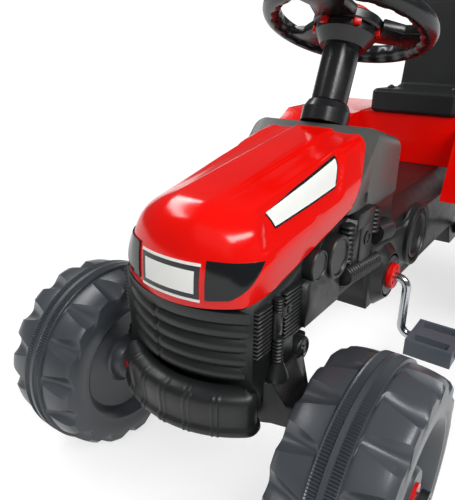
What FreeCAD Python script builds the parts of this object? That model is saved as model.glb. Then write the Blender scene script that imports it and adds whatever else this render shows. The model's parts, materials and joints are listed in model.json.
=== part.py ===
"""Child's pedal tractor with chain drive: moulded bonnet, engine body, rear body and seat,
steered front wheels on a moulded axle beam, and a bent crank that drives the rear axle by chain.
Frame: +Z up, the tractor faces -Y and its left side is +X. The origin is on the floor, midway
between the bumper's face and the back of the rear tyres. Lengths are in millimetres."""

import FreeCAD
import Part
import math
import os

from FreeCAD import Placement, Rotation, Vector

doc = FreeCAD.newDocument("PedalTractor")
sheet = doc.addObject("Spreadsheet::Sheet", "Sizes")

DRIVING_SIZES = [
    ("overall_length", 1000, "front of the front tyres to the tow hitch's end"),
    ("bumper_overhang", 94, "bumper face ahead of the front axle"),
    ("hitch_overhang", 15, "tow hitch behind the rear tyres"),
    ("front_tyre_radius", 125, "over the middle ridge"),
    ("front_tyre_half_width", 55, "hub plane to either side wall"),
    ("rear_tyre_radius", 160, "over the middle ridge"),
    ("rear_tyre_half_width", 58, "hub plane to either side wall"),
    ("front_track_half", 190, "centre plane to the middle of a front tyre"),
    ("rear_track_half", 200, "centre plane to the middle of a rear tyre"),
    ("tyre_grooves", 16, "grooves on each shoulder of a tyre"),
    ("kingpin_half", 125, "centre plane to a kingpin"),
    ("kingpin_radius", 6, "steel kingpin"),
    ("stub_radius", 6, "steel stub axle of a front wheel"),
    ("steer_arm", 50, "kingpin to tie rod pin, and column to drop pin"),
    ("rear_axle_radius", 6, "steel rear axle"),
    ("crank_height", 221, "crank centre above the floor"),
    ("crank_ahead", 435, "crank centre ahead of the rear axle"),
    ("crank_rod_radius", 6, "bent steel crank rod"),
    ("crank_throw", 84, "crank centre to pedal spindle"),
    ("crank_bend", 14, "bend radius of the crank rod"),
    ("crank_arm_half", 132, "centre plane to a crank arm"),
    ("spindle_end_half", 216, "centre plane to the end of a pedal spindle"),
    ("pedal_length", 62, "pedal along its spindle"),
    ("pedal_depth", 68, "pedal across its spindle"),
    ("pedal_thickness", 24, "pedal body"),
    ("chain_plane", -35, "chain's middle plane, right of the centre plane"),
    ("chain_pitch", 12.7, "roller spacing"),
    ("crank_teeth", 20, "teeth on the crank sprocket"),
    ("axle_teeth", 16, "teeth on the rear sprocket"),
    ("body_half_width", 84, "engine block to either side"),
    ("body_bottom", 180, "underside of the engine body"),
    ("gear_half_width", 95, "gearbox part of the body to either side"),
    ("gear_bottom", 185, "underside of the gearbox part"),
    ("hanger_bottom", 138, "underside of the rear axle's hanger"),
    ("block_bottom", 232, "underside of the engine behind the axle beam"),
    ("block_step", 124, "engine's front part that rests on the axle beam, behind the bumper face"),
    ("housing_radius", 46, "crank housing at the gearbox"),
    ("housing_face_radius", 33, "crank housing at its outer face"),
    ("bearing_radius", 11, "sleeve of a crank bearing"),
    ("bearing_flange_radius", 16.5, "flange of a crank bearing"),
    ("cover_radius", 48, "round gear cover"),
    ("fin_pitch", 6.2, "spacing of the cooling fins"),
    ("fin_thickness", 3, "a cooling fin"),
    ("gear_top", 305, "top of the gearbox part"),
    ("bonnet_front_low", 294, "bonnet's lower edge at the nose"),
    ("bonnet_rear_low", 349, "bonnet's lower edge at its rear end"),
    ("bonnet_front_half", 86, "bonnet half width at the nose"),
    ("bonnet_rear_half", 94, "bonnet half width at the dash"),
    ("bonnet_front_top", 384, "bonnet crown at the nose"),
    ("bonnet_rear_top", 426, "bonnet crown at the dash"),
    ("bonnet_low_end", -233, "where the bonnet's lower edge ends"),
    ("bonnet_wall", 4, "moulded wall of the bonnet"),
    ("nose_setback", 19, "bonnet's nose behind the bumper face"),
    ("nose_bow", 140, "radius of the nose's bow in plan"),
    ("brow_depth", 44, "how far back the rolled edge above the nose reaches"),
    ("brow_height", 30, "height of that rolled edge"),
    ("grille_depth", 26, "grille ahead of the engine body"),
    ("grille_lift", 29, "grille's lower edge above the engine body's underside"),
    ("bumper_half_width", 95, "bumper to either side"),
    ("bumper_bow", 136, "radius of the bumper's face in plan"),
    ("bumper_low", 156, "bumper's lower edge above the floor"),
    ("bumper_top", 208, "bumper's upper edge above the floor"),
    ("beam_low", 152, "underside of the axle arms"),
    ("dash_length", 98, "dash top behind the bonnet"),
    ("dash_front", -158, "rear end of the bonnet's crown"),
    ("column_base_ahead", -129, "column axis where it meets the dash top"),
    ("column_base_height", 437, "height of that point"),
    ("column_tilt", 22.8, "column's lean towards the driver in degrees"),
    ("column_radius", 24, "outer radius of the column tube"),
    ("column_length", 90, "length of the column tube"),
    ("drop_arm_height", 160.4, "lower end of the steering rod above the floor"),
    ("steering_rod_radius", 6, "steel steering rod"),
    ("steering_wheel_radius", 103, "centre of the rim"),
    ("rim_radius", 13, "section of the rim"),
    ("horn_travel", 3, "how far the horn button presses"),
    ("seat_front", 225, "front of the seat"),
    ("seat_height", 393, "underside of the seat"),
    ("seat_half_width", 80, "seat to either side"),
    ("seat_depth", 200, "seat pan front to back"),
    ("seat_thickness", 44, "seat pan"),
    ("backrest_height", 205, "backrest above the seat pan"),
    ("fender_gap", 16, "rear tyre to the wheel arch"),
    ("fender_top", 391, "top of the mudguards"),
    ("fender_outer", 246, "centre plane to a mudguard's outer face"),
    ("running_gap", 0.05, "radial clearance of a turning fit"),
    ("parting_gap", 0.4, "clearance between pieces that move past each other"),
    ("hitch_hole_radius", 6, "tow pin hole"),
]
for row, (alias, number, note) in enumerate(DRIVING_SIZES, start=1):
    sheet.set(f"A{row}", note)
    sheet.set(f"B{row}", str(number))
    sheet.setAlias(f"B{row}", alias)
doc.recompute()


def size(alias):
    """A driving dimension from the sheet."""
    return float(sheet.get(alias))


def value(expression):
    """The number that an expression over the sheet gives."""
    return float(doc.getObject("Sizes").evalExpression(str(expression).replace("Sizes.", "")))


# Places that several pieces share, as expressions over the sheet
FRONT_Y = "(-Sizes.overall_length/2+Sizes.front_tyre_radius)"
REAR_Y = "(Sizes.overall_length/2-Sizes.hitch_overhang-Sizes.rear_tyre_radius)"
CRANK_Y = f"({REAR_Y}-Sizes.crank_ahead)"
front_y = value(FRONT_Y)
rear_y = value(REAR_Y)
crank_y = value(CRANK_Y)
front_z = size("front_tyre_radius")
rear_z = size("rear_tyre_radius")
crank_z = size("crank_height")
nose_y = front_y - size("bumper_overhang")
gap = size("parting_gap")
fit = size("running_gap")

TURN = {
    "x": Rotation(Vector(0, 1, 0), 90),
    "y": Rotation(Vector(1, 0, 0), -90),
    "z": Rotation(),
}
column_axis = Vector(0, math.sin(math.radians(size("column_tilt"))), math.cos(math.radians(size("column_tilt"))))
column_base = Vector(0, size("column_base_ahead"), size("column_base_height"))
column_turn = Rotation(Vector(0, 0, 1), column_axis)
NODES = []


def keep(obj, label):
    """Names a finished sub-part; its label names its file."""
    obj.Label = label
    NODES.append(obj)
    return obj


def bind(obj, **expressions):
    for name, expression in expressions.items():
        obj.setExpression(name.replace("_at_", ".Base."), str(expression))


def cylinder(radius, height, at, axis="z"):
    """Cylinder whose sizes and place are expressions; it starts at the given point."""
    obj = doc.addObject("Part::Cylinder", "Cylinder")
    obj.Placement = Placement(Vector(), TURN[axis])
    bind(obj, Radius=radius, Height=height, Placement_at_x=at[0], Placement_at_y=at[1], Placement_at_z=at[2])
    return obj


def box(low, high):
    """Box between two corners given as expressions."""
    obj = doc.addObject("Part::Box", "Box")
    for name, a, b in zip(("Length", "Width", "Height"), low, high):
        obj.setExpression(name, f"({b})-({a})")
    bind(obj, Placement_at_x=low[0], Placement_at_y=low[1], Placement_at_z=low[2])
    return obj


def fuse(*pieces):
    obj = doc.addObject("Part::MultiFuse", "Fuse")
    obj.Shapes = list(pieces)
    return obj


def cut(base, *tools):
    for tool in tools:
        obj = doc.addObject("Part::Cut", "Cut")
        obj.Base, obj.Tool = base, tool
        base = obj
    return base


def feature(shape):
    """A shape that has no primitive of its own."""
    obj = doc.addObject("Part::Feature", "Form")
    obj.Shape = shape
    return obj


def prism(points, plane, low, high):
    """Polygon of (a, b) points pushed from low to high along the axis that the plane leaves out."""
    lift = {"yz": lambda a, b: Vector(low, a, b), "xy": lambda a, b: Vector(a, b, low), "xz": lambda a, b: Vector(a, low, b)}[plane]
    way = {"yz": Vector(1, 0, 0), "xy": Vector(0, 0, 1), "xz": Vector(0, 1, 0)}[plane]
    wire = Part.makePolygon([lift(*p) for p in points] + [lift(*points[0])])
    return Part.Face(wire).extrude(way * (high - low))


def rounded(shape, radius, chosen=None):
    """Shape with its edges, or the chosen ones, filleted."""
    edges = [e for e in shape.Edges if chosen is None or chosen(e)]
    return shape.makeFillet(radius, edges)


def along_column(shape, distance):
    """Shape built on +Z, set on the column axis at a distance from the dash top."""
    shape.Placement = Placement(column_base + column_axis * distance, column_turn)
    return feature(shape)


bush_radius = size("column_radius") + 8
bush_sink = 16


def bush_seat():
    """Room for the column and its bush above the bush's foot."""
    return Part.makeCylinder(bush_radius, 400, column_base - column_axis * bush_sink, column_axis)


def low_edge(y):
    """Height of the bonnet's lower edge at a place along the tractor."""
    start, end = nose_y + size("nose_setback"), size("bonnet_low_end")
    share = (y - start) / (end - start)
    return size("bonnet_front_low") + share * (size("bonnet_rear_low") - size("bonnet_front_low"))


# Engine body: a long moulding whose front carries the engine and whose rear is the gearbox
def engine_body():
    half, low = size("body_half_width"), size("body_bottom")
    front, dash = nose_y + 45, size("dash_front")
    edge, rise = size("bonnet_low_end"), size("bonnet_rear_low")
    back = dash + size("dash_length") - 12
    step_y, step_low = nose_y + size("block_step"), size("block_bottom")
    side_view = [(front, low), (front, low_edge(front)), (edge, rise), (back, rise + 24),
                 (back, step_low), (step_y, step_low), (step_y, low)]
    block = prism(side_view, "yz", -half, half)
    gear_half, gear_top, gear_low = size("gear_half_width"), size("gear_top"), size("gear_bottom")
    shoulder = 30
    start, end = dash - 2, rear_y + 62
    section = [(-gear_half, gear_low), (-gear_half, gear_top - shoulder), (-gear_half + shoulder, gear_top),
               (gear_half - shoulder, gear_top), (gear_half, gear_top - shoulder), (gear_half, gear_low)]
    hanger_low = size("hanger_bottom")
    hanger = [(rear_y - 70, gear_low + 5), (rear_y - 40, hanger_low), (end, hanger_low), (end, gear_low + 5)]
    body = block.fuse([prism(section, "xz", start, end), prism(hanger, "yz", -gear_half, gear_half)])
    # Either flank has twin filter caps over a box, a pump with its hose, fins, the crank housing and a gear cover
    for side in (-1, 1):
        out = Vector(side, 0, 0)

        def flank(points, inner, outer):
            a, b = sorted((side * inner, side * outer))
            return prism(points, "yz", a, b)

        box_front, box_back, box_low = step_y + 5, step_y + 87, step_low + 11
        filter_box = [(box_front, box_low), (box_front, box_low + 50), (box_back, box_low + 62), (box_back, box_low)]
        small_y, large_y = box_front + 24, box_back - 14
        small_cap = Part.makeCylinder(17.5, 13, Vector(side * (half - 2), small_y, low_edge(small_y) - 20.5), out)
        large_cap = Part.makeCylinder(25, 15, Vector(side * (half - 2), large_y, low_edge(large_y) - 36), out)
        pump = [(edge + 4, step_low + 30), (edge + 4, rise - 17), (dash - 12, rise - 17), (dash - 12, step_low + 30)]
        hose = Part.makeCylinder(13, 98, Vector(side * (half + 2), edge - 12, step_low + 34), Vector(0, 1, -0.12))
        base = Vector(side * (gear_half - 2), crank_y, crank_z)
        housing = Part.makeCone(size("housing_radius"), size("housing_face_radius"), 14, base, out)
        middle = Vector(side * (gear_half - 2), crank_y + 110, crank_z + 27)
        cover = Part.makeCylinder(size("cover_radius"), 10, middle, out)
        cover = cover.cut(Part.makeCylinder(size("cover_radius") - 12, 8, middle + out * 5, out))
        pieces = [flank(filter_box, half - 2, half + 11), small_cap, large_cap, flank(pump, half - 2, half + 12), hose, housing, cover]
        # Two stacks of level cooling fins, before and behind the steering link
        thick, pitch = size("fin_thickness"), size("fin_pitch")
        for count, near, far, foot in ((8, front + 1, front + 25, low + 65), (9, front + 50, step_y - 11, low + 60)):
            for fin in range(count):
                z = foot + fin * pitch
                pieces.append(flank([(near, z), (near, z + thick), (far, z + thick), (far, z)], half - 2, half + 6))
        body = body.fuse(pieces)
    # Chain tunnel, open below, and the bores for crank, rear axle and steering rod
    chain_x = size("chain_plane")
    tunnel = Part.makeBox(26, rear_y - crank_y + 120, crank_z + 58 - 60, Vector(chain_x - 13, crank_y - 58, 60))
    body = body.cut(tunnel)
    across = Vector(1, 0, 0)
    for y, z, radius in ((crank_y, crank_z, size("bearing_radius")), (rear_y, rear_z, 11)):
        body = body.cut(Part.makeCylinder(radius, 400, Vector(-200, y, z), across))
    rod = Part.makeCylinder(size("steering_rod_radius") + 4, 900, column_base - column_axis * 600, column_axis)
    return body.cut(rod).cut(bush_seat())


keep(feature(engine_body()), "engine_body")


# Radiator grille: a bowed front with horizontal ribs, hung on the engine body's front
def radiator_grille():
    half, low, back = size("body_half_width"), size("body_bottom") + size("grille_lift"), nose_y + 45
    high, depth = low_edge(back), size("grille_depth")
    ribs = 5
    lip = 10
    pitch = (high - low - lip) / ribs
    points = [(back, low), (back, high), (back - depth, high), (back - depth, high - lip)]
    for rib in range(ribs):
        top = high - lip - rib * pitch
        groove, face = back - depth + 4 + rib, back - depth + rib
        points += [(groove, top - 4), (face, top - pitch * 0.5), (groove - 1, top - pitch + 2)]
    points.append((back - depth * 0.46, low))
    plain = prism(points, "yz", -half, half)
    bow = Part.makeCylinder(size("nose_bow"), high, Vector(0, back - depth + size("nose_bow"), 0))
    under_bonnet = [(nose_y, 0), (nose_y, low_edge(nose_y)), (back, high), (back, 0)]
    return plain.common(bow).common(prism(under_bonnet, "yz", -half, half))


keep(feature(radiator_grille()), "radiator_grille")


# Bonnet: a moulded shell lofted from the rounded nose to the dash
def bonnet_section(y, half, low, shoulder, crown_half, edge, crown):
    p = [Vector(-half, y, low), Vector(-half, y, shoulder), Vector(-crown_half, y, edge),
         Vector(crown_half, y, edge), Vector(half, y, shoulder), Vector(half, y, low)]
    bulge = Vector(-(half + crown_half) / 2 - 5, y, (shoulder + edge) / 2 + 5)
    other = Vector(-bulge.x, y, bulge.z)
    top = Part.Arc(p[2], Vector(0, y, crown), p[3])
    edges = [Part.LineSegment(p[0], p[1]), Part.Arc(p[1], bulge, p[2]), top,
             Part.Arc(p[3], other, p[4]), Part.LineSegment(p[4], p[5]), Part.LineSegment(p[5], p[0])]
    return Part.Wire([e.toShape() for e in edges])


def bonnet_form(inset, drop):
    """Sides and crown lofted to the dash, met by a bowed nose with a rolled edge above it.
    Inset takes the wall off and drop lowers the open underside."""
    front, rear = nose_y + size("nose_setback"), size("dash_front") + 20
    f_half, r_half = size("bonnet_front_half"), size("bonnet_rear_half")
    f_top, r_top = size("bonnet_front_top"), size("bonnet_rear_top")
    sections = []
    # The sides draw in towards the nose's corners
    for back, narrow in ((-4, 15), (17, 8.5), (29, 4.5), (42, 1.8), (62, 0), (rear - front, 0)):
        y = front + back + (inset if back < rear - front else 0)
        share = max(back, 0) / (rear - front)
        half = f_half + share * (r_half - f_half) - narrow - inset
        crown = f_top + share * (r_top - f_top) - inset
        sections.append(bonnet_section(y, half, low_edge(y) - drop, crown - 52, half - 24, crown - 9, crown))
    sides = Part.makeLoft(sections, True, True)
    return sides.common(nose_form(front, inset)).cut(behind_bonnet(0))


def nose_form(front, inset):
    """Nose profile turned about the bow's centre; it runs on past the bonnet's other faces."""
    bow, crown = size("nose_bow") - inset, size("bonnet_front_top") - inset
    depth, height = size("brow_depth"), size("brow_height")
    far = 3 * size("nose_bow")
    start, end = Vector(0, -bow, crown - height), Vector(0, depth - bow, crown + 1)
    brow = Part.Arc(start, Vector(0, depth * 0.2 - bow, crown - height * 0.3), end)
    corners = [end, Vector(0, depth + 6 - bow, crown + far), Vector(0, 0, crown + far), Vector(), Vector(0, -bow, 0), start]
    lines = [Part.LineSegment(first, last).toShape() for first, last in zip(corners, corners[1:])]
    profile = Part.Face(Part.Wire([brow.toShape()] + lines))
    nose = profile.revolve(Vector(), Vector(0, 0, 1), 360)
    nose.translate(Vector(0, front + size("nose_bow"), 0))
    behind = Part.makeBox(far, 2 * far, 2 * far, Vector(-far / 2, front + size("nose_bow"), 0))
    return nose.fuse(behind)


def behind_bonnet(back):
    """Space behind the bonnet's slanted rear edge, set back by a clearance."""
    y, z = size("bonnet_low_end") + back, size("bonnet_rear_low")
    lean = (size("dash_front") - size("bonnet_low_end")) / (size("bonnet_rear_top") - z)
    far = size("overall_length") / 2
    points = [(y - 30 * lean, z - 30), (y + 120 * lean, z + 120), (y + far, z + 120), (y + far, z - 30)]
    return prism(points, "yz", -far, far)


outer_bonnet = bonnet_form(0, 0)
wall = size("bonnet_wall")


def lamp_space(side):
    """Space of a headlamp, wrapped round a front corner of the bonnet."""
    low, high = size("bonnet_front_low") + 11, size("bonnet_front_top") - 39
    tip = nose_y + 73
    points = [(nose_y - 5, low), (nose_y - 5, high), (tip, high + 3), (tip - 3, high - 8), (tip - 32, low + 3)]
    a, b = sorted((side * (size("bonnet_front_half") - 44), side * (size("bonnet_front_half") + 44)))
    return prism(points, "yz", a, b)


shell = outer_bonnet.cut(bonnet_form(wall, 30))
lamp_seat = bonnet_form(wall - 2.5, 30)
lamps = {"left": lamp_space(1), "right": lamp_space(-1)}
for side, space in lamps.items():
    lens = shell.common(space).cut(lamp_seat)
    keep(feature(lens), f"headlamp_{side}")
    shell = shell.cut(lens)
keep(feature(shell), "bonnet")


# Dash: the moulding behind the bonnet that carries the steering column
def dash():
    front, length = size("dash_front"), size("dash_length")
    half, top, start = size("bonnet_rear_half") + 2, size("bonnet_rear_top"), size("bonnet_low_end") - 20
    low = size("bonnet_rear_low")
    sections = []
    ends = ((start, half - 4, top - 14), (front, half, top + 2), (front + length, half - 8, top - 22))
    for y, width, crown in ends:
        sections.append(bonnet_section(y, width, low - 20, crown - 44, width - 24, crown - 9, crown))
    front_part = Part.makeLoft(sections[:2], True, True)
    body = front_part.fuse(Part.makeLoft(sections[1:], True, True))
    edge = size("bonnet_low_end")
    back = front + length
    under = [(edge - 60, low - 60), (edge - 60, low), (edge, low), (back - 12, low + 24), (back + 20, low + 24), (back + 20, low - 60)]
    # A boss along the column carries the bush
    reach = max(column_base.z - bush_sink - low - 30, 10)
    boss = Part.makeCylinder(bush_radius, reach, column_base - column_axis * (bush_sink + reach), column_axis)
    body = body.fuse(boss).common(behind_bonnet(0)).cut(prism(under, "yz", -2 * half, 2 * half))
    bore = Part.makeCylinder(size("steering_rod_radius") + 4, 600, column_base - column_axis * 500, column_axis)
    return body.cut(bush_seat()).cut(bore)


keep(feature(dash()), "dash")
collar_base = Part.makeCylinder(bush_radius, 18)
collar_ring = Part.makeCone(bush_radius, size("column_radius") + 3, 10, Vector(0, 0, 18))
collar_bore = Part.makeCylinder(size("steering_rod_radius") + fit, 40, Vector(0, 0, -5))
keep(along_column(collar_base.fuse(collar_ring).cut(collar_bore), -bush_sink), "column_bush")


# Rear body: the red moulding under the seat with a mudguard over each rear wheel
def rear_body():
    low, top = size("gear_top"), size("seat_height")
    front, back = size("seat_front") + 4, rear_y + 118
    half = size("gear_half_width") + 8
    pedestal = prism([(front - 6, low), (front + 4, top), (back - 30, top), (back, low + 30), (back, low)], "yz", -half, half)
    arch = size("rear_tyre_radius") + size("fender_gap")
    high, outer = size("fender_top"), size("fender_outer")
    profile = [(rear_y - arch - 30, rear_z + 110), (rear_y - arch + 6, high - 22), (rear_y - arch + 50, high),
               (rear_y + arch - 70, high), (rear_y + arch - 26, high - 30), (rear_y + arch - 22, rear_z + 90)]
    body = pedestal
    for side in (-1, 1):
        a, b = sorted((side * (half - 2), side * outer))
        guard = prism(profile, "yz", a, b)
        guard = guard.cut(Part.makeCylinder(arch, 600, Vector(-300, rear_y, rear_z), Vector(1, 0, 0)))
        body = body.fuse(guard)
    return body.removeSplitter()


keep(feature(rear_body()), "rear_body")


# Seat: pan and backrest in one moulding with soft edges
def seat():
    front, low, depth = size("seat_front"), size("seat_height"), size("seat_depth")
    thick, half, rise = size("seat_thickness"), size("seat_half_width"), size("backrest_height")
    profile = [(front, low), (front, low + thick), (front + depth - 46, low + thick - 6), (front + depth - 10, low + rise),
               (front + depth + 16, low + rise), (front + depth - 4, low)]
    form = prism(profile, "yz", -half, half)
    return rounded(form, 9)


# Seat bolts: four round heads on the pan
bolt = Part.makeCylinder(7, 4).fuse(Part.makeCone(6, 3, 3, Vector(0, 0, 4)))
bolts = []
for bolt_x in (-60, 60):
    for bolt_y in (50, 110):
        copy = bolt.copy()
        slope = -6.0 / (size("seat_depth") - 46)
        copy.translate(Vector(bolt_x, size("seat_front") + bolt_y, size("seat_height") + size("seat_thickness") + slope * bolt_y - 1.5))
        bolts.append(copy)
bolt_set = Part.makeCompound(bolts)
keep(feature(bolt_set), "seat_bolts")
keep(feature(seat().cut(bolt_set)), "seat")


# Front axle beam: bowed bumper with round ends, and a sloping arm to each kingpin eye
def axle_beam():
    king, low, high = size("kingpin_half"), size("beam_low"), size("body_bottom")
    half, bow, top = size("bumper_half_width"), size("bumper_bow"), size("bumper_top")
    foot = size("bumper_low")
    sag = bow - math.sqrt(bow ** 2 - half ** 2)
    front = [Vector(-half, nose_y + sag, foot), Vector(0, nose_y, foot), Vector(half, nose_y + sag, foot)]
    rear = [Vector(half - 4, nose_y + sag + 24, foot), Vector(0, nose_y + 34, foot), Vector(4 - half, nose_y + sag + 24, foot)]
    edges = [Part.Arc(*front).toShape(), Part.LineSegment(front[2], rear[0]).toShape(),
             Part.Arc(*rear).toShape(), Part.LineSegment(rear[2], front[0]).toShape()]
    plate = Part.Face(Part.Wire(edges)).extrude(Vector(0, 0, top - foot))
    ends = rounded(plate, 11, lambda e: abs(e.tangentAt(e.FirstParameter).z) > 0.9)
    beam = rounded(ends, 6)
    inner = half - 40
    beam = beam.fuse(prism([(-inner, nose_y + 34), (inner, nose_y + 34), (inner, front_y + 44), (-inner, front_y + 44)], "xy", low, high))
    # Each arm is a gusset in plan, level at the eye and rising to the bumper's top at the engine body
    for side in (-1, 1):
        plan = [(inner, front_y - 38), (half - 7, front_y - 24), (king, front_y - 15), (king, front_y + 15),
                (half - 1, front_y + 40), (half - 25, front_y + 88), (inner, front_y + 88)]
        ramp = [(inner, low), (king, low), (king, high), (king - 18, high), (half - 8, top - 4), (inner, top - 4)]
        arm = prism([(side * x, y) for x, y in plan], "xy", low - 10, top + 10)
        arm = arm.common(prism([(side * x, z) for x, z in ramp], "xz", front_y - 60, front_y + 100))
        eye = Part.makeCylinder(14, high - low, Vector(side * king, front_y, low))
        beam = beam.fuse(arm.fuse(eye))
    block = size("body_half_width")
    beam = beam.cut(Part.makeBox(2 * block, size("block_step") - 45, top, Vector(-block, nose_y + 45, high)))
    for side in (-1, 1):
        beam = beam.cut(Part.makeCylinder(size("kingpin_radius") + fit, 200, Vector(side * king, front_y, 60)))
    rod = Part.makeCylinder(size("steering_rod_radius") + 6, 900, column_base - column_axis * 600, column_axis)
    return beam.cut(rod)


keep(feature(axle_beam()), "front_axle_beam")


# Steering knuckles: kingpin, block, stub axle and steering arm of each front wheel
tie_y = front_y + size("steer_arm")
block_top = 147.6
pin_radius = 4
for side, sign in (("left", 1), ("right", -1)):
    king = sign * size("kingpin_half")
    steel = Part.makeCylinder(size("kingpin_radius"), 76, Vector(king, front_y, 112))
    knuckle = Part.makeCylinder(11, block_top - 110, Vector(king, front_y, 110))
    reach = size("front_track_half") + size("front_tyre_half_width") + 8 - size("kingpin_half")
    stub = Part.makeCylinder(size("stub_radius"), reach, Vector(king, front_y, front_z), Vector(sign, 0, 0))
    arm = Part.makeBox(16, size("steer_arm"), 6, Vector(king - 8, front_y, 112))
    arm = arm.fuse(Part.makeCylinder(9, 6, Vector(king, tie_y, 112)))
    arm = arm.cut(Part.makeCylinder(pin_radius + fit, 20, Vector(king, tie_y, 105)))
    keep(feature(steel.fuse([knuckle, stub, arm])), f"knuckle_{side}")
    keep(cut(cylinder(12, 5, (king, FRONT_Y, "Sizes.body_bottom+Sizes.parting_gap"), "z"),
             cylinder("Sizes.kingpin_radius", 40, (king, FRONT_Y, "Sizes.body_bottom-10"), "z")), f"kingpin_cap_{side}")


rod_low = (size("drop_arm_height") - column_base.z) / column_axis.z
drop_foot = column_base + column_axis * rod_low + column_turn.multVec(Vector(0, size("steer_arm"), 0))
slot_y = drop_foot.y - column_axis.y / column_axis.z * (drop_foot.z - 108)


# Tie rod: flat bar with a pin at each end and a slotted plate for the steering rod's drop pin
def tie_rod():
    king = size("kingpin_half")
    bar = Part.makeBox(2 * king, 14, 6, Vector(-king, tie_y - 7, 105))
    tongue = slot_y - tie_y + 18
    plate = Part.makeBox(36, tongue, 6, Vector(-18, tie_y, 105))
    rod = bar.fuse(plate)
    for side in (-1, 1):
        rod = rod.fuse(Part.makeCylinder(9, 6, Vector(side * king, tie_y, 105)))
        rod = rod.fuse(Part.makeCylinder(pin_radius, 17, Vector(side * king, tie_y, 105)))
    slot = Part.makeBox(12, 18, 30, Vector(-6, slot_y - 9, 95))
    return rod.cut(slot)


keep(feature(tie_rod()), "tie_rod")


# Moulded wheels: a hollow-looking tyre with a middle ridge, grooved shoulders and a dished side
def tyre(radius, half, bore, hub):
    dish = radius * 0.62
    profile = [(-half + 5, bore), (-half + 5, hub), (-half + 18, hub + 8), (-half + 18, dish - 8), (-half, dish),
               (-half, radius * 0.84), (-half + 7, radius * 0.91), (-14, radius - 4), (-11, radius)]
    profile += [(-x, r) for x, r in reversed(profile)]
    wire = Part.makePolygon([Vector(x, r, 0) for x, r in profile + profile[:1]])
    solid = Part.Face(wire).revolve(Vector(), Vector(1, 0, 0), 360)
    grooves = int(size("tyre_grooves"))
    width = radius * 0.075
    for side in (-1, 1):
        for step in range(grooves):
            angle = 360.0 / grooves * (step + (0.5 if side > 0 else 0.0))
            flare = [(16, -width * 0.45), (half + 2, -width), (half + 2, width), (16, width * 0.45)]
            blade = Part.makePolygon([Vector(side * x, y, radius * 0.885) for x, y in flare + flare[:1]])
            cutter = Part.Face(blade).extrude(Vector(0, 0, radius * 0.3))
            cutter.rotate(Vector(), Vector(1, 0, 0), angle)
            solid = solid.cut(cutter)
    return solid


front_tyre = tyre(front_z, size("front_tyre_half_width"), 14, 26)
rear_tyre = tyre(rear_z, size("rear_tyre_half_width"), 14, 30)
for side, sign in (("left", 1), ("right", -1)):
    track = f"({sign}*Sizes.front_track_half)"
    wheel = feature(front_tyre.copy())
    wheel.Placement = Placement(Vector(sign * size("front_track_half"), front_y, front_z), Rotation())
    keep(wheel, f"front_wheel_{side}")
    half = "Sizes.front_tyre_half_width"
    sleeve = cylinder(14, f"2*{half}-6", (f"{track}-{half}+3", FRONT_Y, "Sizes.front_tyre_radius"), "x")
    hole = cylinder("Sizes.stub_radius+Sizes.running_gap", f"2*{half}+20",
                    (f"{track}-{half}-10", FRONT_Y, "Sizes.front_tyre_radius"), "x")
    keep(cut(sleeve, hole), f"front_hub_{side}")
    start = f"{track}+{sign}*({half}+0.5)" if sign > 0 else f"{track}-({half}+8.5)"
    nut = cylinder(11, 8, (start, FRONT_Y, "Sizes.front_tyre_radius"), "x")
    hole = cylinder("Sizes.stub_radius", 30, (f"{start}-10", FRONT_Y, "Sizes.front_tyre_radius"), "x")
    keep(cut(nut, hole), f"front_axle_cap_{side}")

# Rear wheels, axle and its bushes; the left wheel is fixed to the axle and the right one turns on it
axle_half = "(Sizes.rear_track_half+Sizes.rear_tyre_half_width+6)"
keep(cylinder("Sizes.rear_axle_radius", f"2*{axle_half}", (f"-{axle_half}", REAR_Y, "Sizes.rear_tyre_radius"), "x"), "rear_axle")
for side, sign in (("left", 1), ("right", -1)):
    wheel = feature(rear_tyre.copy())
    wheel.Placement = Placement(Vector(sign * size("rear_track_half"), rear_y, rear_z), Rotation())
    keep(wheel, f"rear_wheel_{side}")
    track, half = f"({sign}*Sizes.rear_track_half)", "Sizes.rear_tyre_half_width"
    sleeve = cylinder(14, f"2*{half}-6", (f"{track}-{half}+3", REAR_Y, "Sizes.rear_tyre_radius"), "x")
    clearance = "" if sign > 0 else "+Sizes.running_gap"
    hole = cylinder(f"Sizes.rear_axle_radius{clearance}", f"2*{half}+20", (f"{track}-{half}-10", REAR_Y, "Sizes.rear_tyre_radius"), "x")
    keep(cut(sleeve, hole), f"rear_hub_{side}")
    start = f"{track}+{half}+0.5" if sign > 0 else f"{track}-({half}+6.5)"
    nut = cylinder(12, 6, (start, REAR_Y, "Sizes.rear_tyre_radius"), "x")
    hole = cylinder("Sizes.rear_axle_radius", 40, (f"{start}-10", REAR_Y, "Sizes.rear_tyre_radius"), "x")
    keep(cut(nut, hole), f"rear_axle_cap_{side}")
    inner = "(Sizes.gear_half_width-24)" if sign > 0 else "(-Sizes.gear_half_width-6)"
    bush = cylinder(11, 30, (inner, REAR_Y, "Sizes.rear_tyre_radius"), "x")
    hole = cylinder("Sizes.rear_axle_radius+Sizes.running_gap", 60, (f"{inner}-10", REAR_Y, "Sizes.rear_tyre_radius"), "x")
    keep(cut(bush, hole), f"rear_axle_bush_{side}")


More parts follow.
